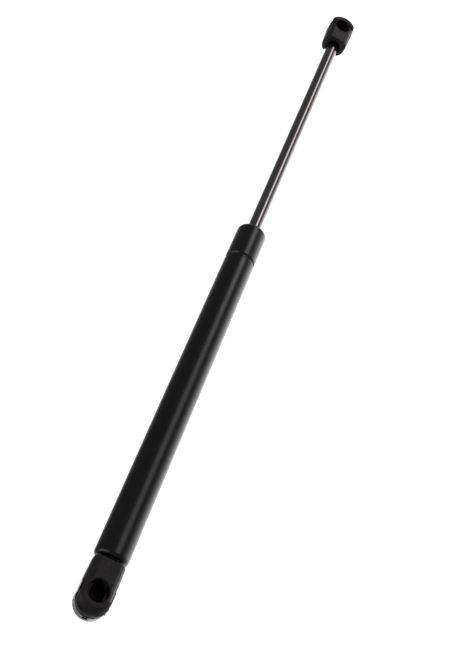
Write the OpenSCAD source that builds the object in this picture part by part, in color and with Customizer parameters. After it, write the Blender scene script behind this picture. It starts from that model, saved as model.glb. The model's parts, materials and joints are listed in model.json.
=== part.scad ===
// Gas strut stay: a gas spring with two ball sockets, shown fully extended.
// The strut lies along X, its ball sockets open towards +Z, and the origin is
// the centre of the ball seat on the tube side.  All sizes are millimetres.

/* [Strut] */
// Distance between the two ball centres with the rod fully out
socket_span = 441.5; // [440:0.5:444]
// Travel of the rod
stroke = 170; // [120:5:170]

/* [Pressure tube] */
// Outer diameter of the tube
tube_d = 18; // [18:0.1:18.4]
// Wall thickness of the tube
tube_wall = 1.2; // [1.0:0.1:1.2]
// Length of the tube over both rolled ends
tube_length = 222; // [221:0.5:222]
// Outer radius of the rolled tube ends
roll_r = 2.5; // [2:0.1:2.8]
// Distance from the rod end of the tube to the crimped groove
groove_from_end = 25; // [24:0.1:25]
// Depth of the crimped groove
groove_depth = 0.7; // [0.4:0.1:0.8]

/* [Rod] */
// Diameter of the rod
rod_d = 8; // [8:0.01:8.02]
// Radial running clearance of everything that slides
running_gap = 0.04; // [0.02:0.01:0.08]

/* [Ball sockets] */
// Diameter of the ball stud that the sockets take
ball_d = 10; // [10:0.1:10.2]
// Width of a socket across its flanks
socket_w = 18; // [17.9:0.1:18.2]
// Distance from the ball centre to the neck end of a socket
neck_reach = 15.9; // [15.5:0.1:16]
// Width of a socket at its neck
neck_w = 16.4; // [16.4:0.1:17]
// Height of the flat front face above the strut's axis
front_h = 8.2; // [8:0.1:8.4]
// Depth of the back face below the strut's axis
back_h = 8.2; // [8:0.1:8.4]
// How far a retaining clip pulls out
clip_travel = 7.4; // [7.3:0.1:7.6]
// Thickness of the clip's spring steel
clip_t = 0.7; // [0.6:0.05:0.75]

/* [Hidden] */

$fn = 96;
eps = 0.01;
fit_gap = 0.01;          // gap of parts that seat on each other

tube_r = tube_d / 2;
bore_r = tube_r - tube_wall;
rod_r = rod_d / 2;
slide_r = rod_r + running_gap;

// Stations along the strut
tube_x0 = 17.5;
tube_x1 = tube_x0 + tube_length;
groove_x = tube_x1 - groove_from_end;
bead_half = 1.4;         // half the width of the crimp inside the bore
stack_x0 = groove_x + bead_half + 0.1;
stack_x1 = tube_x1 - tube_wall;
plug_x0 = tube_x0 + tube_wall;
plug_x1 = plug_x0 + 6.8;
lip_r = 5.6;             // inner radius of the rolled edge on the plug
mouth_lip_r = 6.2;       // inner radius of the rolled edge on the guide

// Guide and seal stack, from the crimp to the rolled edge
support_t = 1.5;
seal_t = 5.5;
backup_t = 1.2;
closing_t = 1.1;
wiper_t = 2;
seal_x0 = stack_x0 + support_t;
backup_x0 = seal_x0 + seal_t;
guide_x0 = backup_x0 + backup_t;
guide_x1 = stack_x1 - closing_t;
wiper_x0 = guide_x1 - wiper_t;
bush_r = 5;
wiper_r = 6;

// Piston pack on the rod's inner end
pack_x1 = groove_x - bead_half - 0.2;
stop_t = 1.5;
ring_land = 3.4;
piston_t = 4.2;
valve_t = 1;
rivet_t = 1.2;
stop_x0 = pack_x1 - stop_t;
piston_x1 = stop_x0;
piston_x0 = piston_x1 - ring_land - piston_t;
valve_x0 = piston_x0 - valve_t;
rivet_x0 = valve_x0 - rivet_t;
piston_r = bore_r - 0.25;
ring_seat_r = 6.1;
spigot_r = 2.5;

// Threads of the stud and of the rod's outer end
thread_r = 4;
thread_root_r = 3.35;
thread_pitch = 1.25;
thread_end = 6.6;        // where the thread stops, from the ball centre
neck_recess_r = 5.2;
neck_recess = 1.5;

// Socket shape
ball_r = ball_d / 2;
seat_r = ball_r + 0.05;
entry_r = ball_r + 0.1;
mouth_r = ball_r + 0.3;
mouth_bevel = 0.7;
nose_r = 11.6;            // rounding of the outer end, about the ball centre
flank_r = socket_w / 2;
flank_x = -3;             // centre of the round end, from the ball centre
neck_round = 0.9;
back_play = 0.05;         // the half-round back stands this far outside the flanks
facet_x = -2.6;           // the neck's two facets a side start at this station
draft_w = 7.6;            // half width of the flat front face over the ball
entry_z0 = -0.5;
entry_z1 = 2.5;

// Clip shape: a band round the socket's end, two side legs and two tabs
band_x = -3.15;
band_r0 = 7.9;
band_z0 = -5;
band_z1 = 1;
window_w = 2.8;           // window in the band
window_h = 2.6;
window_z = -0.9;
recess_x = -6.3;          // the band shows outside this station
band_end = 1.2;           // the band runs on along the flanks this far
nose_plan_r = 8.5;        // radius of the nose above the band
leg_z0 = -2.5;
leg_x1 = 3.6;
tab_x0 = -4.6;
tab_z0 = 3.9;
tab_y = 3.25;
slot_gap = 0.06;

function arc(cx, cy, r, a0, a1, n) =
    [for (i = [0:n]) let (a = a0 + (a1 - a0) * i / n) [cx + r * cos(a), cy + r * sin(a)]];

// A solid of revolution about X; each point is [radius, x]
module turned(profile) {
    rotate([0, 90, 0]) rotate_extrude() polygon(profile);
}

module ring(r_in, r_out, x0, x1) {
    turned([[r_in, x0], [r_out, x0], [r_out, x1], [r_in, x1]]);
}

module o_ring(r_mid, x_mid, r_cord) {
    turned(arc(r_mid, x_mid, r_cord, 0, 345, 23));
}

// Thread crests and roots as a turned outline between two stations
function thread_outline(x0, x1) =
    let (turns = floor((x1 - x0) / thread_pitch))
    [for (i = [0:turns - 1]) each [
        [thread_root_r, x0 + i * thread_pitch],
        [thread_r, x0 + (i + 0.45) * thread_pitch],
        [thread_r, x0 + (i + 0.55) * thread_pitch]
    ]];

// ---- Tube side, fixed parts ----

module pressure_tube() {
    outer_groove = [
        [tube_r, groove_x + 1.4], [tube_r - groove_depth, groove_x + 0.4],
        [tube_r - groove_depth, groove_x - 0.4], [tube_r, groove_x - 1.4]
    ];
    inner_bead = [
        [bore_r, groove_x - bead_half], [bore_r - groove_depth, groove_x - 0.45],
        [bore_r - groove_depth, groove_x + 0.45], [bore_r, groove_x + bead_half]
    ];
    corner = tube_r - roll_r;
    inner_roll = roll_r - tube_wall;
    color([0.11, 0.10, 0.10]) turned(concat(
        [[lip_r, tube_x0]],
        arc(corner, tube_x0 + roll_r, roll_r, -90, 0, 10),
        [for (i = [3:-1:0]) outer_groove[i]],
        arc(corner, tube_x1 - roll_r, roll_r, 0, 90, 10),
        [[mouth_lip_r, tube_x1], [mouth_lip_r, tube_x1 - tube_wall]],
        arc(corner, tube_x1 - roll_r, inner_roll, 90, 0, 6),
        [for (i = [3:-1:0]) inner_bead[i]],
        arc(corner, tube_x0 + roll_r, inner_roll, 0, -90, 6),
        [[lip_r, tube_x0 + tube_wall]]
    ));
}

module base_plug() {
    chamfer = roll_r - tube_wall + 0.2;
    groove_floor = bore_r - 1.8;
    edge = bore_r - fit_gap;
    color([0.45, 0.45, 0.46]) turned([
        [thread_r, tube_x0 - 0.6], [lip_r - 0.4, tube_x0 - 0.6], [lip_r - 0.1, tube_x0 - 0.3],
        [lip_r - 0.1, plug_x0], [edge - chamfer, plug_x0], [edge, plug_x0 + chamfer],
        [edge, plug_x0 + 2.4], [groove_floor, plug_x0 + 2.4],
        [groove_floor, plug_x0 + 4.8], [edge, plug_x0 + 4.8],
        [edge, plug_x1 - 0.5], [edge - 0.5, plug_x1], [thread_r, plug_x1]
    ]);
}

module base_plug_o_ring() {
    color([0.08, 0.08, 0.08]) o_ring(bore_r - 0.9, plug_x0 + 3.6, 0.88);
}

module base_stud() {
    head_x = plug_x1;
    shank_x = tube_x0 - 0.6;
    color([0.62, 0.61, 0.58]) turned(concat(
        [[0, thread_end + 0.3], [thread_root_r - 0.6, thread_end + 0.3]],
        thread_outline(thread_end + 0.8, shank_x),
        [[thread_root_r, shank_x - 0.6], [thread_r, shank_x], [thread_r, head_x],
         [thread_r + 1, head_x], [thread_r + 1, head_x + 0.6], [thread_r - 0.8, head_x + 1.1],
         [0, head_x + 1.1]]
    ));
}

module seal_support_ring() {
    color([0.75, 0.74, 0.70]) ring(rod_r + 0.3, bore_r - fit_gap, stack_x0, seal_x0);
}

module rod_seal() {
    edge = bore_r - fit_gap;
    mid = 5.9;
    color([0.06, 0.06, 0.06]) turned([
        [slide_r, seal_x0 + 1.0], [slide_r + 0.7, seal_x0], [mid - 0.5, seal_x0],
        [mid, seal_x0 + 1.6], [mid + 0.5, seal_x0], [edge - 0.4, seal_x0],
        [edge, seal_x0 + 1.0], [edge, backup_x0], [slide_r + 0.9, backup_x0],
        [slide_r + 0.9, seal_x0 + 3.8], [slide_r, seal_x0 + 2.6]
    ]);
}

module seal_backup_washer() {
    color([0.72, 0.70, 0.64]) ring(rod_r + 0.25, bore_r - fit_gap, backup_x0, guide_x0);
}

module rod_guide() {
    edge = bore_r - fit_gap;
    chamfer = roll_r - tube_wall + 0.2;
    groove_floor = bore_r - 1.8;
    groove_mid = guide_x0 + 4;
    color([0.55, 0.50, 0.40]) turned([
        [bush_r, guide_x0], [edge - 0.4, guide_x0], [edge, guide_x0 + 0.4],
        [edge, groove_mid - 1.2], [groove_floor, groove_mid - 1.2],
        [groove_floor, groove_mid + 1.2], [edge, groove_mid + 1.2],
        [edge, guide_x1 - chamfer], [edge - chamfer, guide_x1],
        [wiper_r, guide_x1], [wiper_r, wiper_x0], [bush_r, wiper_x0]
    ]);
}

module guide_bush() {
    color([0.70, 0.45, 0.22]) turned([
        [slide_r + 0.3, guide_x0], [bush_r, guide_x0], [bush_r, wiper_x0],
        [slide_r + 0.3, wiper_x0], [slide_r, wiper_x0 - 0.4], [slide_r, guide_x0 + 0.4]
    ]);
}

module guide_o_ring() {
    color([0.08, 0.08, 0.08]) o_ring(bore_r - 0.9, guide_x0 + 4, 0.88);
}

module rod_wiper() {
    color([0.10, 0.10, 0.10]) turned([
        [slide_r + 0.8, wiper_x0], [wiper_r - fit_gap, wiper_x0],
        [wiper_r - fit_gap, guide_x1], [slide_r, guide_x1], [slide_r, guide_x1 - 0.5]
    ]);
}

module closing_washer() {
    outer = tube_r - roll_r - 0.1;
    color([0.35, 0.35, 0.36]) turned([
        [rod_r + 0.4, guide_x1], [outer, guide_x1], [outer, stack_x1],
        [mouth_lip_r - 0.1, stack_x1], [mouth_lip_r - 0.4, stack_x1 + 0.4],
        [rod_r + 0.7, stack_x1 + 0.4], [rod_r + 0.4, stack_x1]
    ]);
}

// ---- Piston, on the rod's inner end ----

module piston_ring() {
    gap_w = 0.6;
    color([0.20, 0.20, 0.19]) difference() {
        ring(ring_seat_r + 0.25, bore_r - running_gap, stop_x0 - ring_land + 0.1, stop_x0 - 0.1);
        translate([stop_x0 - ring_land - 1, -gap_w / 2, 0]) cube([ring_land + 2, gap_w, tube_r]);
    }
}

module piston_rod() {
    thread_start = socket_span - neck_reach + neck_recess;
    color([0.24, 0.22, 0.22]) turned(concat(
        [[0, rivet_x0], [spigot_r, rivet_x0], [spigot_r + 0.9, rivet_x0 + 0.5],
         [spigot_r + 0.9, valve_x0], [spigot_r, valve_x0], [spigot_r, pack_x1],
         [rod_r - 0.3, pack_x1], [rod_r, pack_x1 + 0.3], [rod_r, thread_start]],
        thread_outline(thread_start + 0.6, socket_span - thread_end - 0.8),
        [[thread_root_r - 0.2, socket_span - thread_end - 0.5], [0, socket_span - thread_end - 0.5]]
    ));
}

module stop_disc() {
    color([0.55, 0.55, 0.56]) ring(spigot_r, bore_r - 0.35, stop_x0, pack_x1);
}

module metering_piston() {
    duct_r = 0.4;
    color([0.60, 0.58, 0.55]) difference() {
        turned([
            [spigot_r, piston_x0], [piston_r - 0.4, piston_x0], [piston_r, piston_x0 + 0.4],
            [piston_r, piston_x0 + piston_t], [ring_seat_r, piston_x0 + piston_t],
            [ring_seat_r, piston_x1], [spigot_r, piston_x1]
        ]);
        for (a = [0, 120, 240])
            rotate([a, 0, 0]) translate([piston_x0 - eps, 0, 4.6]) rotate([0, 90, 0])
                cylinder(r = duct_r, h = piston_x1 - piston_x0 + 2 * eps, $fn = 24);
    }
}

module valve_washer() {
    color([0.66, 0.66, 0.68]) ring(spigot_r, 4.1, valve_x0, piston_x0);
}

// ---- Ball sockets; drawn with the ball centre at the origin and the neck on +X ----

module socket_outline() {
    half_flank = flank_r - 0.05;
    translate([flank_x, 0]) circle(r = flank_r);
    polygon([
        [flank_x, -flank_r], [0, -half_flank], [neck_reach - neck_round, -neck_w / 2],
        [neck_reach, -neck_w / 2 + neck_round], [neck_reach, neck_w / 2 - neck_round],
        [neck_reach - neck_round, neck_w / 2], [0, half_flank], [flank_x, flank_r]
    ]);
}

// Cross-section of the head: its flanks lean in towards the front face
module head_front() {
    polygon([
        [-9.1, -12], [-9.1, 0], [-draft_w, front_h], [draft_w, front_h], [9.1, 0], [9.1, -12]
    ]);
}

// Cross-section of the neck in front of the strut's axis, with two facets a side
module neck_front() {
    polygon([
        [-9.1, -12], [-9.1, 0], [-8.3, 4.2], [-6.9, 6.8], [-5.1, front_h],
        [5.1, front_h], [6.9, 6.8], [8.3, 4.2], [9.1, 0], [9.1, -12]
    ]);
}

module socket_blank() {
    intersection() {
        translate([0, 0, -back_h]) linear_extrude(front_h + back_h) socket_outline();
        union() {
            translate([-14, 0, 0]) rotate([90, 0, 90]) linear_extrude(14 + facet_x) head_front();
            translate([facet_x, 0, 0]) rotate([90, 0, 90]) linear_extrude(neck_reach + 4) neck_front();
        }
        union() {
            translate([-14, -12, 0]) cube([32, 24, 12]);
            turned(concat(
                [[0, -14], [flank_r + back_play, -14], [flank_r + back_play, flank_x]],
                arc(neck_w / 2 + back_play - neck_round, neck_reach - neck_round, neck_round, 0, 90, 5),
                [[0, neck_reach]]
            ));
        }
        union() {
            sphere(r = nose_r);
            translate([0, -12, -12]) cube([18, 24, 24]);
        }
    }
}

module ball_seat() {
    sphere(r = seat_r);
    translate([0, 0, entry_z0]) cylinder(r = entry_r, h = entry_z1 - entry_z0);
    translate([0, 0, entry_z1 - eps]) cylinder(r = mouth_r, h = front_h);
    translate([0, 0, front_h - mouth_bevel])
        cylinder(r1 = mouth_r, r2 = mouth_r + mouth_bevel + 0.1, h = mouth_bevel + 0.1);
}

module neck_bore() {
    rotate([0, 90, 0]) {
        translate([0, 0, thread_end]) cylinder(r = thread_r, h = neck_reach);
        translate([0, 0, neck_reach - neck_recess]) cylinder(r = neck_recess_r, h = neck_reach);
    }
    // Cored channel in the back of the neck, open at its end
    translate([neck_reach - 6, 0, 0]) rotate([90, 0, 90]) linear_extrude(neck_reach) polygon([
        [-4.9, -back_h - 1], [-4.9, -7], [-4.1, -4.9], [4.1, -4.9], [4.9, -7], [4.9, -back_h - 1]
    ]);
}

// Plan of the clip's band and legs, grown by a gap for the pocket that holds it
module band_plan(grow) {
    difference() {
        translate([band_x, 0]) circle(r = band_r0 + clip_t + grow);
        translate([band_x, 0]) circle(r = band_r0 - grow);
        translate([band_x, -10]) square([20, 20]);
    }
    for (side = [0, 1]) mirror([0, side])
        translate([band_x - eps, band_r0 - grow])
            square([band_end + eps + grow, clip_t + 2 * grow]);
}

// What the recess round the nose takes away, down to radius r
module nose_plan(r) {
    difference() {
        translate([-14, -12]) square([14 + recess_x, 24]);
        translate([band_x, 0]) circle(r = r);
    }
}

module clip_pocket() {
    pocket_h = band_z1 - band_z0 + 2 * slot_gap;
    // Band groove, and the narrower nose above it
    translate([0, 0, band_z0 - slot_gap]) linear_extrude(pocket_h) {
        band_plan(slot_gap);
        nose_plan(band_r0 - slot_gap);
    }
    translate([0, 0, band_z1]) linear_extrude(front_h) nose_plan(nose_plan_r);
    // Leg pockets open to the flanks, and tab slots long enough for the clip's travel
    for (side = [0, 1]) mirror([0, side, 0]) {
        translate([-14, band_r0 - slot_gap, band_z0 - slot_gap])
            cube([14 + band_x + band_end + slot_gap, 3, pocket_h]);
        translate([-14, band_r0 - slot_gap, leg_z0 - slot_gap])
            cube([14 + leg_x1 + slot_gap, 3, tab_z0 + clip_t - leg_z0 + 2 * slot_gap]);
        translate([tab_x0 - clip_travel - slot_gap, tab_y - slot_gap, tab_z0 - slot_gap])
            cube([leg_x1 - tab_x0 + clip_travel + 2 * slot_gap,
                  band_r0 - tab_y + clip_t + 2 * slot_gap, clip_t + 2 * slot_gap]);
    }
}

module socket() {
    color([0.09, 0.08, 0.08]) difference() {
        socket_blank();
        ball_seat();
        neck_bore();
        clip_pocket();
    }
}

// Plan of a tab: its inner edge stands clear of the ball all along
function tab_plan() = concat(
    [[tab_x0, band_r0 + clip_t], [tab_x0, tab_y + 1.9], [tab_x0 + 1.4, tab_y]],
    arc(0, tab_y - 12.45, 12.85, 104, 76, 8),
    [[leg_x1, tab_y + 0.9], [leg_x1, band_r0 + clip_t]]
);

module clip() {
    band_h = band_z1 - band_z0;
    tab_top = tab_z0 + clip_t;
    color([0.55, 0.50, 0.50]) difference() {
        union() {
            translate([0, 0, band_z0]) linear_extrude(band_h) band_plan(0);
            for (side = [0, 1]) mirror([0, side, 0]) {
                translate([band_x, band_r0, leg_z0])
                    cube([leg_x1 - band_x, clip_t, tab_top - leg_z0]);
                translate([0, 0, tab_z0]) linear_extrude(clip_t) intersection() {
                    polygon(tab_plan());
                    union() {
                        translate([band_x, 0]) circle(r = band_r0 + clip_t);
                        translate([band_x, 0]) square([10, band_r0 + clip_t]);
                    }
                }
            }
        }
        // Window that a screwdriver lifts the clip by
        translate([band_x - 10, -window_w / 2, window_z - window_h / 2]) cube([4, window_w, window_h]);
    }
}

module tube_socket() { socket(); }
module tube_socket_clip() { clip(); }
module rod_socket() { translate([socket_span, 0, 0]) mirror([1, 0, 0]) socket(); }
module rod_socket_clip() { translate([socket_span, 0, 0]) mirror([1, 0, 0]) clip(); }

pressure_tube();
base_plug();
base_plug_o_ring();
base_stud();
seal_support_ring();
rod_seal();
seal_backup_washer();
rod_guide();
guide_bush();
guide_o_ring();
rod_wiper();
closing_washer();
tube_socket();
tube_socket_clip();
piston_ring();
piston_rod();
stop_disc();
metering_piston();
valve_washer();
rod_socket();
rod_socket_clip();
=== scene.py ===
"""Looks for the gas strut stay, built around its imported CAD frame.

The strut lies along X with its sockets open towards +Z.  The frame is in metres;
shapes that are easier to read in millimetres are built in millimetres and scaled
by MM when they become a mesh.
"""
import json
import math

import bpy
import numpy as np
from mathutils import Matrix, Vector


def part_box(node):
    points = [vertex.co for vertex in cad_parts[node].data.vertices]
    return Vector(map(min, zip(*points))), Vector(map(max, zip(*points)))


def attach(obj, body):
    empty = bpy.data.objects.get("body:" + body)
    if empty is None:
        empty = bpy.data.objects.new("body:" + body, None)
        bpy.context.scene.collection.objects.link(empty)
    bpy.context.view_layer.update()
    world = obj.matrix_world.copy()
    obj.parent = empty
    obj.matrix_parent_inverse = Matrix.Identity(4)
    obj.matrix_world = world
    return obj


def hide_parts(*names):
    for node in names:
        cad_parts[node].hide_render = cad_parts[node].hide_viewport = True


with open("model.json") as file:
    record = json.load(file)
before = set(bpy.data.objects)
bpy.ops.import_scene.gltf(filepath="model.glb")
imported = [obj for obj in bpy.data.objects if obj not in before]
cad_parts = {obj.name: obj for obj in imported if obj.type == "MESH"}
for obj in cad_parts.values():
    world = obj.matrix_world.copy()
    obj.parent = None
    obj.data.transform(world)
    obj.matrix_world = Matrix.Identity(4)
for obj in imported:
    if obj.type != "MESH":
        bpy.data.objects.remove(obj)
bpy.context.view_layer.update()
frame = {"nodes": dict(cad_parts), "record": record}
MM = 0.001

# ---------------------------------------------------------------- sizes, in mm
tube_lo, tube_hi = (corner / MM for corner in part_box("pressure_tube"))
rod_lo, rod_hi = (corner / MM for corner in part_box("piston_rod"))
stud_lo, stud_hi = (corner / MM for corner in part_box("base_stud"))
seats = {m["name"]: m["pos_m"][0] / MM for m in frame["record"]["mounts"]}
SPAN = seats["rod_ball_seat"] - seats["tube_ball_seat"]

TUBE_R = tube_hi.z
TUBE_WALL = 1.2
BORE_R = TUBE_R - TUBE_WALL
ROLL_R = 2.5
BASE_LIP_R = 5.6
MOUTH_LIP_R = 6.2
GROOVE_X = tube_hi.x - 25
GROOVE_DEPTH = 0.7
GROOVE_HALF = 1.4        # half width of the groove at the tube's surface
GROOVE_FLOOR_HALF = 0.4
BEAD_HALF = 0.45         # half width of the crimp's crest inside the bore

ROD_R = 4.0
SPIGOT_R = 2.5
RIVET_T = 1.2
PACK_LENGTH = 10.1       # from the rivet's inner face to the rod's shoulder, rivet left out
THREAD_R = 4.0
THREAD_ROOT_R = 3.35
THREAD_PITCH = 1.25
THREAD_END = 6.6         # where a socket's thread stops, from the ball centre

NECK_REACH = 15.9
NECK_RECESS = 1.5
NECK_RECESS_R = 5.2


# ---------------------------------------------------------------- mesh helpers
def new_mesh(name, points_mm, faces):
    """A smooth-shaded mesh object from points in millimetres."""
    mesh = bpy.data.meshes.new(name)
    mesh.from_pydata((np.asarray(points_mm) * MM).tolist(), [], faces)
    mesh.validate()
    mesh.shade_smooth()
    piece = bpy.data.objects.new(name, mesh)
    bpy.context.scene.collection.objects.link(piece)
    return piece


def rounded(corners, steps=6):
    """An outline from (x, r, fillet radius) corners, each fillet made as an arc."""
    points = []
    count = len(corners)
    for i, (x, r, fillet) in enumerate(corners):
        here = np.array([x, r])
        before = np.array(corners[i - 1][:2]) - here
        after = np.array(corners[(i + 1) % count][:2]) - here
        if fillet <= 0:
            points.append(here)
            continue
        before /= np.linalg.norm(before)
        after /= np.linalg.norm(after)
        half = math.acos(np.clip(before @ after, -1, 1)) / 2
        if half > math.radians(89):
            points.append(here)
            continue
        reach = fillet / math.tan(half)
        bisector = (before + after) / np.linalg.norm(before + after)
        centre = here + bisector * fillet / math.sin(half)
        start = here + before * reach - centre
        end = here + after * reach - centre
        angle = math.acos(np.clip(start @ end / fillet ** 2, -1, 1))
        for k in range(steps + 1):
            a = angle * k / steps
            points.append(centre + (start * math.sin(angle - a) + end * math.sin(a)) / math.sin(angle))
    return [tuple(p) for p in points]


def turned(name, outline, segments=128, closed=True):
    """A solid of revolution about X.  An open outline starts and ends on the axis."""
    points, faces, rings = [], [], []
    for x, r in outline:
        if r < 1e-6:
            rings.append([len(points)])
            points.append((x, 0.0, 0.0))
            continue
        rings.append(list(range(len(points), len(points) + segments)))
        for k in range(segments):
            a = 2 * math.pi * k / segments
            points.append((x, r * math.cos(a), r * math.sin(a)))
    pairs = list(zip(rings, rings[1:]))
    if closed:
        pairs.append((rings[-1], rings[0]))
    for low, high in pairs:
        for k in range(segments):
            n = (k + 1) % segments
            if len(low) == 1:
                faces.append((low[0], high[n], high[k]))
            elif len(high) == 1:
                faces.append((low[k], low[n], high[0]))
            else:
                faces.append((low[k], low[n], high[n], high[k]))
    return new_mesh(name, points, faces)


def thread_depth(phase):
    """0 on the crest and 1 in the root of a 60 degree thread with a rounded root."""
    ramp = np.abs(((phase + 0.5) % 1.0) - 0.5) * 2
    return np.clip((ramp - 0.12) / 0.74, 0, 1)


def threaded(name, stations, thread, segments=72):
    """A turned pin whose stretch `thread` = (x0, x1) carries a real helix."""
    x0, x1 = thread
    coarse = [s for s in stations if not x0 < s[0] < x1]
    profile_x = np.array([s[0] for s in coarse])
    profile_r = np.array([s[1] for s in coarse])
    fine_x = np.arange(x0, x1, THREAD_PITCH / 12)[1:]
    before = [s for s in coarse if s[0] <= x0]
    after = [s for s in coarse if s[0] >= x1]
    rows = before + [(x, None) for x in fine_x] + after
    points, faces = [], []
    angles = 2 * np.pi * np.arange(segments) / segments
    for x, r in rows:
        if r is None:
            run_out = np.clip(min(x - x0, x1 - x) / THREAD_PITCH, 0, 1)
            depth = thread_depth(x / THREAD_PITCH - angles / (2 * np.pi)) * run_out
            radius = np.interp(x, profile_x, profile_r) - depth * (THREAD_R - THREAD_ROOT_R)
        else:
            radius = np.full(segments, r)
        points += list(zip(np.full(segments, x), radius * np.cos(angles), radius * np.sin(angles)))
    for j in range(len(rows) - 1):
        for k in range(segments):
            n = (k + 1) % segments
            faces.append((j * segments + k, j * segments + n, (j + 1) * segments + n, (j + 1) * segments + k))
    faces.append(tuple(reversed(range(segments))))
    last = (len(rows) - 1) * segments
    faces.append(tuple(range(last, last + segments)))
    return new_mesh(name, points, faces)


# ------------------------------------------- moulded and formed shapes, as distance fields
def both(a, b, r):
    """What lies in both shapes, its edge rounded to radius r."""
    return np.minimum(np.maximum(a, b), -r) + np.hypot(np.maximum(a + r, 0), np.maximum(b + r, 0))


def either(a, b, r):
    """Both shapes joined, the corner between them filled to radius r."""
    return -both(-a, -b, r)


def cut(a, b, r):
    """Shape a with b taken away, the new edge rounded to radius r."""
    return both(a, -b, r)


def slab(value, low, high):
    return np.maximum(low - value, value - high)


def surface_net(field, low, step):
    """Points and quads of the field's zero surface on a regular grid."""
    shape = np.array(field.shape)
    cells = shape - 1
    total = int(np.prod(cells))
    sums, counts, quads = np.zeros((total, 3)), np.zeros(total), []
    for axis in range(3):
        first = [slice(None)] * 3
        second = [slice(None)] * 3
        first[axis], second[axis] = slice(0, -1), slice(1, None)
        f0, f1 = field[tuple(first)], field[tuple(second)]
        index = np.argwhere((f0 < 0) != (f1 < 0))
        a, b = f0[tuple(index.T)], f1[tuple(index.T)]
        crossing = index.astype(float)
        crossing[:, axis] += a / (a - b)
        u, v = (axis + 1) % 3, (axis + 2) % 3
        corner_ids = []
        for du, dv in ((0, 0), (-1, 0), (-1, -1), (0, -1)):
            cell = index.copy()
            cell[:, u] += du
            cell[:, v] += dv
            ids = np.ravel_multi_index(cell.T, cells)
            corner_ids.append(ids)
            counts += np.bincount(ids, minlength=total)
            for k in range(3):
                sums[:, k] += np.bincount(ids, weights=crossing[:, k], minlength=total)
        quad = np.stack(corner_ids, 1)
        outward = a < 0
        quads.append(np.where(outward[:, None], quad, quad[:, ::-1]))
    used = counts > 0
    renumber = np.cumsum(used) - 1
    points = sums[used] / counts[used][:, None] * step + low
    return points, renumber[np.concatenate(quads)]


def gradient(shape, points, h=0.01):
    return np.stack([
        (shape(points + h * axis) - shape(points - h * axis)) / (2 * h) for axis in np.eye(3)
    ], 1)


def solid_from_field(name, shape, low, high, step, place):
    """Meshes a distance field, and pulls each point onto the true surface."""
    low, high = np.array(low, float), np.array(high, float)
    grid = [np.arange(low[k], high[k] + step, step) for k in range(3)]
    field = np.stack([
        shape(np.stack(np.broadcast_arrays(x, grid[1][:, None], grid[2][None, :]), -1).reshape(-1, 3))
        for x in grid[0]
    ]).reshape([len(g) for g in grid])
    points, quads = surface_net(field, low, step)
    for _ in range(4):
        slope = gradient(shape, points)
        size = np.maximum((slope ** 2).sum(1), 0.25)
        move = -(shape(points) / size)[:, None] * slope
        reach = np.linalg.norm(move, axis=1, keepdims=True)
        points = points + move * np.minimum(1, 0.3 * step / np.maximum(reach, 1e-9))
    placed = place(points)
    mirrored = place(np.eye(3)) - place(np.zeros((3, 3)))
    if np.linalg.det(mirrored) < 0:
        quads = quads[:, ::-1]
    return new_mesh(name, placed, quads.tolist())


# ---------------------------------------------------------------- the ball socket
FLANK_R = 9.0            # radius of the round end seen from the mouth
FLANK_X = -3.0
NECK_HALF = 8.2
NOSE_R = 11.6            # rounding of the outer end, about the ball centre
FRONT_H = 8.2
BACK_H = 8.2
DRAFT_HALF = 7.6         # half width of the flat front face over the ball
DRAFT_FOOT = 9.1         # half width at which the leaning flanks meet the strut's axis
FACET_X = -2.6           # the neck's two facets a side start here
# The facets' corners across the neck, as (y, z) from the front face outwards
FACET_TOP, FACET_MIDDLE, FACET_FOOT = (5.1, FRONT_H), (6.9, 6.8), (8.3, 4.2)
CHANNEL_HALF = 4.1       # the cored channel in the back of the neck
CHANNEL_DEPTH = 4.9      # from the axis down to the channel's roof
CHANNEL_LENGTH = 6
CHANNEL_FLARE = 0.38     # how fast the channel widens downwards
CHANNEL_SCALE = 0.93     # keeps the flared walls' distances true
SEAT_R, ENTRY_R, MOUTH_R = 5.05, 5.1, 5.3
ENTRY_Z0, ENTRY_Z1 = -0.5, 2.5
MOUTH_BEVEL = 0.7
BEVEL_FROM = 5           # the mouth's bevel lies above this height
# Radii of the socket's edges
NECK_ROUND = 0.9
NOSE_ROUND = 0.8
FRONT_ROUND = 0.45
FLANK_ROUND = 0.4
FACET_ROUND = 0.22
BAND_SLOT_ROUND = 0.2
LEG_SLOT_ROUND = 0.15
TAB_SLOT_ROUND = 0.12
MOUTH_ROUND = 0.18

BAND_X = -3.15           # centre of the clip band's arc
BAND_R0, BAND_R1 = 7.9, 8.6
BAND_Z0, BAND_Z1 = -5.0, 1.0
WINDOW_W, WINDOW_H, WINDOW_Z = 2.8, 2.6, -0.9
WINDOW_X = -9.6          # the window is cut outwards from here
RECESS_X = -6.3
BAND_END = 1.2           # the band runs on along the flanks this far
LEG_Z0 = -2.5
NOSE_PLAN_R = 8.5        # radius of the nose above the band
LEG_X1 = 3.6
TAB_X0, TAB_Y, TAB_Z0, TAB_Z1 = -4.6, 3.25, 3.9, 4.6
TAB_BOW_R = 12.85        # the tab's inner edge is an arc of this radius
TAB_BOW = 0.4            # and stands back this far at its middle
LEG_TOP = TAB_Z1 - 1.0
BEND_FROM = 2.4          # height at which a leg's bend starts
BEND_OUTER_R, BEND_INNER_R = 0.9, 0.2
CLIP_EDGE = 0.12         # rounding of the strip's edges
CLIP_TRAVEL = 7.4
SLOT_GAP = 0.06


def plane(y, z, start, end):
    """Distance from the line through two (y, z) points, positive on its outer side."""
    dy, dz = end[0] - start[0], end[1] - start[1]
    length = math.hypot(dy, dz)
    return ((y - start[0]) * -dz + (z - start[1]) * dy) / length


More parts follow.
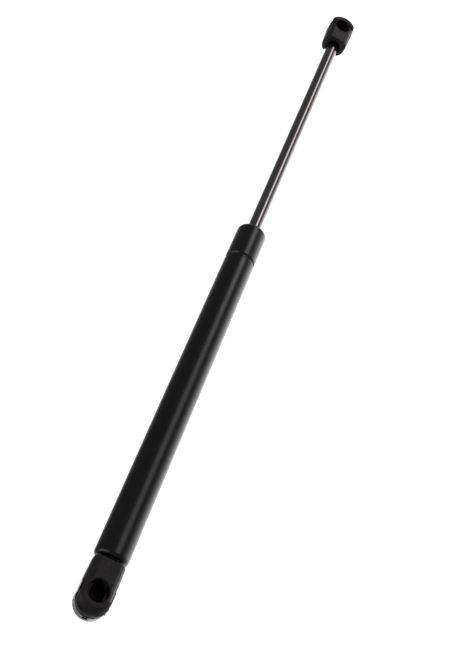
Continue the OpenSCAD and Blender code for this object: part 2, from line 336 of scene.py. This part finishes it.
def socket_shape(p):
    """Distance field of the plastic ball socket, ball centre at the origin, neck on +X."""
    x, y, z = p.T
    side_y = np.abs(y)
    from_axis = np.hypot(y, z)
    end = x - NECK_REACH
    # Body: a round-ended block with a half-round back at its neck and a rolled nose
    taper = (FLANK_R - NECK_HALF) / (NECK_REACH - FLANK_X)
    flank = (side_y - FLANK_R + taper * (x - FLANK_X)) / math.hypot(1, taper)
    round_end = np.hypot(x - FLANK_X, y) - FLANK_R
    plan = both(np.where(x > FLANK_X, flank, round_end), end, NECK_ROUND)
    cone_r = FLANK_R - taper * np.maximum(x - FLANK_X, 0)
    back = both(np.where(z < 0, from_axis, side_y) - cone_r, end, NECK_ROUND)
    body = both(plan, back, 0.1)
    nose = np.linalg.norm(np.stack([np.minimum(x, 0), y, z]), axis=0) - NOSE_R
    body = both(body, nose, NOSE_ROUND)
    body = both(body, z - FRONT_H, FRONT_ROUND)
    body = both(body, -BACK_H - z, NECK_ROUND)
    body = both(body, plane(side_y, z, (DRAFT_HALF, FRONT_H), (DRAFT_FOOT, 0)), FLANK_ROUND)
    facets = np.maximum(plane(side_y, z, FACET_TOP, FACET_MIDDLE), plane(side_y, z, FACET_MIDDLE, FACET_FOOT))
    body = cut(body, np.maximum(-facets, FACET_X - 0.1 - x), FACET_ROUND)
    # Cored channel in the back of the neck
    wall = side_y - CHANNEL_HALF - CHANNEL_FLARE * np.maximum(0, -CHANNEL_DEPTH - z)
    channel = both(wall * CHANNEL_SCALE, z + CHANNEL_DEPTH, 0.5)
    channel = both(channel, NECK_REACH - CHANNEL_LENGTH - x, 0.6)
    body = cut(body, channel, 0.45)
    # Neck bore with a shallow recess round it
    body = cut(body, np.maximum(from_axis - NECK_RECESS_R, NECK_REACH - NECK_RECESS - x), 0.25)
    body = cut(body, np.maximum(from_axis - THREAD_R, THREAD_END - x), 0.1)
    # Slots for the clip, and the slimmer nose above its band
    ring_r = np.hypot(x - BAND_X, y)
    band_z = slab(z, BAND_Z0 - SLOT_GAP, BAND_Z1 + SLOT_GAP)
    band = slab(np.where(x < BAND_X, ring_r, side_y), BAND_R0 - SLOT_GAP, BAND_R1 + SLOT_GAP)
    band = np.maximum(band, x - BAND_X - BAND_END - SLOT_GAP)
    body = cut(body, np.maximum(band, band_z), BAND_SLOT_ROUND)
    recess = np.maximum(BAND_R0 - SLOT_GAP - ring_r, x - RECESS_X)
    body = cut(body, np.maximum(recess, band_z), BAND_SLOT_ROUND)
    above = np.maximum(NOSE_PLAN_R - ring_r, x - RECESS_X)
    body = cut(body, np.maximum(above, BAND_Z1 - z), BAND_SLOT_ROUND)
    leg = np.maximum(BAND_R0 - SLOT_GAP - side_y, slab(z, LEG_Z0 - SLOT_GAP, TAB_Z1 + SLOT_GAP))
    body = cut(body, np.maximum(leg, x - LEG_X1 - SLOT_GAP), LEG_SLOT_ROUND)
    tab = np.maximum(TAB_Y - SLOT_GAP - side_y, slab(z, TAB_Z0 - SLOT_GAP, TAB_Z1 + SLOT_GAP))
    tab = np.maximum(tab, slab(x, TAB_X0 - CLIP_TRAVEL - SLOT_GAP, LEG_X1 + SLOT_GAP))
    body = cut(body, tab, TAB_SLOT_ROUND)
    # Ball seat and mouth
    from_z = np.hypot(x, y)
    seat = np.linalg.norm(p, axis=1) - SEAT_R
    seat = np.minimum(seat, np.maximum(from_z - ENTRY_R, slab(z, ENTRY_Z0, FRONT_H)))
    seat = np.minimum(seat, np.maximum(from_z - MOUTH_R, ENTRY_Z1 - z))
    bevel = (from_z - MOUTH_R - (z - FRONT_H + MOUTH_BEVEL)) * math.sqrt(0.5)
    seat = np.minimum(seat, np.maximum(bevel, BEVEL_FROM - z))
    return cut(body, seat, MOUTH_ROUND)


def clip_shape(p):
    """Distance field of the spring-steel clip: a band, two side legs and two tabs."""
    x, y, z = p.T
    side_y = np.abs(y)
    mid = (BAND_R0 + BAND_R1) / 2
    half_t = (BAND_R1 - BAND_R0) / 2
    ring_r = np.hypot(x - BAND_X, y)
    sheet = np.abs(np.where(x < BAND_X, ring_r, side_y) - mid) - half_t
    band_plan = np.maximum(slab(z, BAND_Z0, BAND_Z1), x - BAND_X - BAND_END)
    riser_plan = np.maximum(slab(z, LEG_Z0, LEG_TOP), BAND_X - x)
    outline = both(either(band_plan, riser_plan, 0.6), x - LEG_X1, 0.5)
    strip = both(sheet, outline, CLIP_EDGE)
    # Inner edge of a tab, bowed clear of the ball, with its two corners cut off
    inner_edge = TAB_BOW_R - np.hypot(x, side_y + TAB_BOW_R - TAB_Y - TAB_BOW)
    corner_out = (TAB_Y + 1.9 - side_y - 1.357 * (x - TAB_X0)) / 1.686
    corner_in = (TAB_Y + 1.8 * (x - 3.1) - side_y) / 2.06
    inner_edge = np.maximum(inner_edge, np.maximum(corner_out, corner_in))
    # Leg turned inwards as a tab, with a bend radius
    outer = both(side_y - BAND_R1, z - TAB_Z1, BEND_OUTER_R)
    inner = both(side_y - BAND_R0, z - TAB_Z0, BEND_INNER_R)
    bent = np.maximum(np.maximum(outer, -inner), np.maximum(slab(x, BAND_X, LEG_X1), BEND_FROM - z))
    tab = np.maximum(slab(z, TAB_Z0, TAB_Z1), side_y - BAND_R1 + 0.5)
    tab_end = both(TAB_X0 - x, ring_r - BAND_R1 + 0.1, 0.3)
    tab = np.maximum(tab, np.where(x > BAND_X, slab(x, TAB_X0, LEG_X1), tab_end))
    tab = either(both(bent, inner_edge, CLIP_EDGE), both(tab, inner_edge, CLIP_EDGE), 0.1)
    shape = np.minimum(strip, tab)
    # Window that a screwdriver lifts the clip by
    window = both(side_y - WINDOW_W / 2, np.abs(z - WINDOW_Z) - WINDOW_H / 2, 0.25)
    window = np.maximum(window, x - WINDOW_X)
    return cut(shape, window, 0.08)


def tube_side(points):
    return np.asarray(points, float)


def rod_side(points):
    return np.asarray(points, float) * [-1, 1, 1] + [SPAN, 0, 0]


# ---------------------------------------------------------------- materials
def shader(name, base, roughness, metallic=0.0, tint=0.15, tint_scale=60.0, rough_spread=0.06,
           grain=(), specular=0.5, stretch=(1, 1, 1)):
    """A procedural material.  grain lists (scale per metre, bump distance in metres, stretch)."""
    material = bpy.data.materials.new(name)
    material.use_nodes = True
    nodes, links = material.node_tree.nodes, material.node_tree.links
    principled = nodes["Principled BSDF"]
    principled.inputs["Metallic"].default_value = metallic
    principled.inputs["Specular IOR Level"].default_value = specular
    place = nodes.new("ShaderNodeTexCoord")

    def noise(scale, squeeze=(1, 1, 1)):
        mapping = nodes.new("ShaderNodeMapping")
        mapping.inputs["Scale"].default_value = squeeze
        links.new(place.outputs["Object"], mapping.inputs["Vector"])
        texture = nodes.new("ShaderNodeTexNoise")
        texture.inputs["Scale"].default_value = scale
        texture.inputs["Detail"].default_value = 3.0
        links.new(mapping.outputs["Vector"], texture.inputs["Vector"])
        return texture.outputs["Fac"]

    def spread(value, low, high):
        ramp = nodes.new("ShaderNodeMapRange")
        ramp.inputs["From Min"].default_value = 0.3
        ramp.inputs["From Max"].default_value = 0.7
        ramp.inputs["To Min"].default_value = low
        ramp.inputs["To Max"].default_value = high
        links.new(value, ramp.inputs["Value"])
        return ramp.outputs["Result"]

    shade = nodes.new("ShaderNodeMix")
    shade.data_type = "RGBA"
    shade.inputs[6].default_value = (*[c * (1 - tint) for c in base], 1)
    shade.inputs[7].default_value = (*[min(1, c * (1 + tint)) for c in base], 1)
    links.new(spread(noise(tint_scale, stretch), 0, 1), shade.inputs["Factor"])
    links.new(shade.outputs[2], principled.inputs["Base Color"])
    sheen = noise(tint_scale * 2.3, stretch)
    sheen = spread(sheen, roughness - rough_spread, roughness + rough_spread)
    links.new(sheen, principled.inputs["Roughness"])
    normal = None
    for scale, distance, squeeze in grain:
        bump = nodes.new("ShaderNodeBump")
        bump.inputs["Strength"].default_value = 1.0
        bump.inputs["Distance"].default_value = distance
        links.new(noise(scale, squeeze), bump.inputs["Height"])
        if normal:
            links.new(normal, bump.inputs["Normal"])
        normal = bump.outputs["Normal"]
    if normal:
        links.new(normal, principled.inputs["Normal"])
    return material


ALL_ROUND = (1, 1, 1)
RINGS = (1, 0.02, 0.02)      # fine turning or grinding rings round X

materials = {
    "tube_paint": shader("tube_paint", (0.0052, 0.0047, 0.0046), 0.30, tint=0.25, tint_scale=40,
                         rough_spread=0.03,
                         grain=[(900, 0.000004, ALL_ROUND), (5200, 0.0000012, ALL_ROUND)]),
    "rod_steel": shader("rod_steel", (0.235, 0.215, 0.218), 0.15, metallic=1.0, tint=0.08, tint_scale=90,
                        rough_spread=0.03, grain=[(16000, 0.0000008, RINGS)], stretch=(1, 0.3, 0.3)),
    "moulded_plastic": shader("moulded_plastic", (0.0180, 0.0163, 0.0155), 0.52, tint=0.3, tint_scale=350,
                              rough_spread=0.08, specular=0.34,
                              grain=[(2600, 0.000018, ALL_ROUND), (700, 0.00002, (0.5, 1, 1))]),
    "clip_steel": shader("clip_steel", (0.014, 0.0115, 0.013), 0.30, metallic=1.0, tint=0.12, tint_scale=240,
                         grain=[(7000, 0.000003, (1, 1, 0.08))], stretch=(1, 1, 0.1)),
    "zinc_steel": shader("zinc_steel", (0.52, 0.50, 0.46), 0.33, metallic=1.0, tint=0.15, tint_scale=500,
                         grain=[(5000, 0.000003, ALL_ROUND)]),
    "plain_steel": shader("plain_steel", (0.10, 0.10, 0.102), 0.42, metallic=1.0, tint=0.12, tint_scale=300,
                          grain=[(9000, 0.000002, RINGS)]),
    "seal_rubber": shader("seal_rubber", (0.012, 0.012, 0.012), 0.62, tint=0.25, tint_scale=400,
                          grain=[(4000, 0.000006, ALL_ROUND)]),
    "seal_plastic": shader("seal_plastic", (0.60, 0.59, 0.53), 0.42, tint=0.06, tint_scale=200,
                           grain=[(2500, 0.000006, ALL_ROUND)]),
    "ring_plastic": shader("ring_plastic", (0.045, 0.045, 0.042), 0.4, tint=0.2, tint_scale=700,
                           grain=[(6000, 0.000004, RINGS)]),
    "guide_metal": shader("guide_metal", (0.26, 0.25, 0.23), 0.5, metallic=0.9, tint=0.3, tint_scale=2500,
                          rough_spread=0.12, grain=[(6000, 0.00001, ALL_ROUND)]),
    "bush_bronze": shader("bush_bronze", (0.45, 0.27, 0.12), 0.38, metallic=0.9, tint=0.2, tint_scale=1200,
                          grain=[(8000, 0.000003, RINGS)]),
}
slots = {s["node"]: s["material_slot"] for s in frame["record"]["subparts"]}


def dress(piece, *nodes, body):
    """The piece stands for CAD nodes, takes their material slot and rides on their body."""
    slot = slots[nodes[0]]
    piece.data.materials.clear()
    piece.data.materials.append(materials[slot])
    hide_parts(*nodes)
    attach(piece, body)
    return piece


# ---------------------------------------------------------------- pieces
def make_tube():
    x0, x1 = tube_lo.x, tube_hi.x
    floor_r = TUBE_R - GROOVE_DEPTH
    bead_r = BORE_R - GROOVE_DEPTH
    outline = rounded([
        (x0, BASE_LIP_R, 0.3), (x0, TUBE_R, ROLL_R),
        (GROOVE_X - GROOVE_HALF, TUBE_R, 0.6), (GROOVE_X - GROOVE_FLOOR_HALF, floor_r, 0.3),
        (GROOVE_X + GROOVE_FLOOR_HALF, floor_r, 0.3), (GROOVE_X + GROOVE_HALF, TUBE_R, 0.6),
        (x1, TUBE_R, ROLL_R), (x1, MOUTH_LIP_R, 0.35),
        (x1 - TUBE_WALL, MOUTH_LIP_R, 0.2), (x1 - TUBE_WALL, BORE_R, 1.3),
        (GROOVE_X + GROOVE_HALF, BORE_R, 0.5), (GROOVE_X + BEAD_HALF, bead_r, 0.3),
        (GROOVE_X - BEAD_HALF, bead_r, 0.3), (GROOVE_X - GROOVE_HALF, BORE_R, 0.5),
        (x0 + TUBE_WALL, BORE_R, 1.3), (x0 + TUBE_WALL, BASE_LIP_R, 0.2),
    ], steps=8)
    return turned("pressure_tube_rolled", outline)


def make_rod():
    x0 = rod_lo.x
    shoulder = x0 + RIVET_T + PACK_LENGTH
    thread_x0 = SPAN - NECK_REACH + NECK_RECESS + 0.3
    end = rod_hi.x
    head = [(x0, 0.6), (x0 + 0.15, 1.9), (x0 + 0.5, 3.1), (x0 + 0.85, 3.4), (x0 + RIVET_T, 3.4)]
    pin = [(x0 + RIVET_T, SPIGOT_R), (shoulder, SPIGOT_R), (shoulder, ROD_R - 0.3), (shoulder + 0.3, ROD_R)]
    shaft = [(x, ROD_R) for x in np.linspace(shoulder + 0.6, thread_x0 - 0.2, 24)]
    tip = [(thread_x0, ROD_R), (end - 0.4, THREAD_ROOT_R + 0.25), (end, THREAD_ROOT_R - 0.2)]
    return threaded("piston_rod_turned", head + pin + shaft + tip, (thread_x0, end - 0.4), segments=96)


def make_stud():
    x0, x1 = stud_lo.x, stud_hi.x
    shank = tube_lo.x - 0.6
    rows = [(x0, THREAD_ROOT_R - 0.6), (x0 + 0.6, THREAD_R - 0.1), (shank, THREAD_R), (shank + 0.5, THREAD_R),
            (x1 - 1.2, THREAD_R), (x1 - 1.1, THREAD_R + 1), (x1 - 0.5, THREAD_R + 1), (x1, THREAD_R - 0.8)]
    return threaded("base_stud_threaded", rows, (x0 + 0.6, shank))


# Grid steps of the two distance fields, and the boxes they are sampled in
SOCKET_STEP = 0.24
CLIP_STEP = 0.16
socket_low, socket_high = (-11.6, -9.4, -8.6), (16.3, 9.4, 8.6)
clip_low, clip_high = (-12.0, -9.0, -5.4), (4.1, 9.0, 5.0)

dress(make_tube(), "pressure_tube", body="barrel")
dress(make_stud(), "base_stud", body="barrel")
dress(make_rod(), "piston_rod", body="rod")
for end, place, socket_body, clip_body in (
    ("tube", tube_side, "barrel", "tube_clip"),
    ("rod", rod_side, "rod", "rod_clip"),
):
    socket = solid_from_field(end + "_socket_moulded", socket_shape,
                              socket_low, socket_high, SOCKET_STEP, place)
    dress(socket, end + "_socket", body=socket_body)
    clip = solid_from_field(end + "_clip_formed", clip_shape,
                            clip_low, clip_high, CLIP_STEP, place)
    dress(clip, end + "_socket_clip", body=clip_body)

for name, node in frame["nodes"].items():
    node.data.materials.clear()
    node.data.materials.append(materials[slots[name]])

# ---------------------------------------------------------------- floor, light and camera
FLOOR_Z = -1.3
FLOOR_REACH = 12.0
floor_mesh = bpy.data.meshes.new("floor")
floor_corners = [(x * FLOOR_REACH, y * FLOOR_REACH, FLOOR_Z) for x, y in ((-1, -1), (1, -1), (1, 1), (-1, 1))]
floor_mesh.from_pydata(floor_corners, [], [(0, 1, 2, 3)])
floor = bpy.data.objects.new("floor", floor_mesh)
bpy.context.scene.collection.objects.link(floor)
floor_paint = bpy.data.materials.new("floor_paint")
floor_paint.use_nodes = True
floor_shader = floor_paint.node_tree.nodes["Principled BSDF"]
floor_shader.inputs["Base Color"].default_value = (0.9, 0.9, 0.9, 1)
floor_shader.inputs["Roughness"].default_value = 1.0
floor_shader.inputs["Specular IOR Level"].default_value = 0.0
floor_shader.inputs["Emission Color"].default_value = (1, 1, 1, 1)
floor_shader.inputs["Emission Strength"].default_value = 0.8
floor_mesh.materials.append(floor_paint)
floor.visible_glossy = False
floor.visible_diffuse = False
floor.visible_shadow = False

# The room: a dark studio whose white sweep and bright right side show in the gloss.
# The camera sees plain white all round.
world = bpy.data.worlds.new("room")
bpy.context.scene.world = world
world.use_nodes = True
room, room_links = world.node_tree.nodes, world.node_tree.links
where = room.new("ShaderNodeTexCoord")


def number(value):
    node = room.new("ShaderNodeValue")
    node.outputs[0].default_value = value
    return node.outputs[0]


def add(a, b):
    node = room.new("ShaderNodeMath")
    node.operation = "ADD"
    room_links.new(a, node.inputs[0])
    room_links.new(b, node.inputs[1])
    return node.outputs[0]


def lobe(direction, full, none, radiance):
    """Light from around one direction: full up to one angle in degrees, none beyond another."""
    dot = room.new("ShaderNodeVectorMath")
    dot.operation = "DOT_PRODUCT"
    dot.inputs[1].default_value = Vector(direction).normalized()
    room_links.new(where.outputs["Generated"], dot.inputs[0])
    angle = room.new("ShaderNodeMath")
    angle.operation = "ARCCOSINE"
    room_links.new(dot.outputs["Value"], angle.inputs[0])
    fade = room.new("ShaderNodeMapRange")
    fade.interpolation_type = "SMOOTHSTEP"
    fade.inputs["From Min"].default_value = math.radians(full)
    fade.inputs["From Max"].default_value = math.radians(none)
    fade.inputs["To Min"].default_value = radiance
    fade.inputs["To Max"].default_value = 0
    room_links.new(angle.outputs[0], fade.inputs["Value"])
    return fade.outputs["Result"]


ROOM_DARK = 0.15
sweep = lobe((0.45, -0.50, -0.74), 34, 78, 0.9)
sweep_front = lobe((-0.2, -0.2, -0.96), 20, 50, 0.5)
right_wall = lobe((0.4, -0.72, -0.57), 12, 70, 1.35)
window_low = lobe((-0.42, 0.90, -0.05), 8, 20, 1.8)
window_high = lobe((-0.55, 0.70, 0.42), 8, 22, 1.8)
window = add(window_low, window_high)
strength = add(number(ROOM_DARK), add(add(sweep, sweep_front), add(right_wall, window)))
seen = room.new("ShaderNodeLightPath")
choose = room.new("ShaderNodeMix")
room_links.new(seen.outputs["Is Camera Ray"], choose.inputs["Factor"])
room_links.new(strength, choose.inputs["A"])
choose.inputs["B"].default_value = 1.0
room_links.new(choose.outputs["Result"], room["Background"].inputs["Strength"])
room["Background"].inputs["Color"].default_value = (1, 1, 1, 1)


def softbox(name, centre, aim, size, radiance, colour=(1, 1, 1)):
    """A rectangular light; its power follows from the radiance it should show."""
    data = bpy.data.lights.new(name, "AREA")
    data.shape = "RECTANGLE"
    data.size, data.size_y = size
    data.energy = radiance * math.pi * size[0] * size[1]
    data.color = colour
    light = bpy.data.objects.new(name, data)
    light.location = centre
    light.rotation_mode = "QUATERNION"
    light.rotation_quaternion = (Vector(aim) - Vector(centre)).to_track_quat("-Z", "Y")
    bpy.context.scene.collection.objects.link(light)
    return light


WARM = (1.0, 0.93, 0.94)
softbox("overhead_far", (1.65, -0.285, 1.0), (1.65, -0.285, 0), (1.5, 0.48), 2.6, WARM)
softbox("overhead_near", (0.45, -0.34, 1.0), (0.45, -0.34, 0), (0.9, 0.56), 1.15, WARM)

CAMERA_AT = Vector((-0.1483, 0.05325, 0.4639))
CAMERA_AIM = Vector((0.1740, -0.01015, 0.0))
CAMERA_ROLL = math.radians(36.3)
camera_data = bpy.data.cameras.new("camera")
camera_data.lens = 55.8
camera_data.sensor_width = 36.0
camera_data.clip_start = 0.01
camera = bpy.data.objects.new("camera", camera_data)
bpy.context.scene.collection.objects.link(camera)
looking = (CAMERA_AIM - CAMERA_AT).to_track_quat("-Z", "Y").to_matrix().to_4x4()
camera.matrix_world = Matrix.Translation(CAMERA_AT) @ looking @ Matrix.Rotation(CAMERA_ROLL, 4, "Z")
bpy.context.scene.camera = camera
bpy.context.scene.view_settings.view_transform = "Standard"
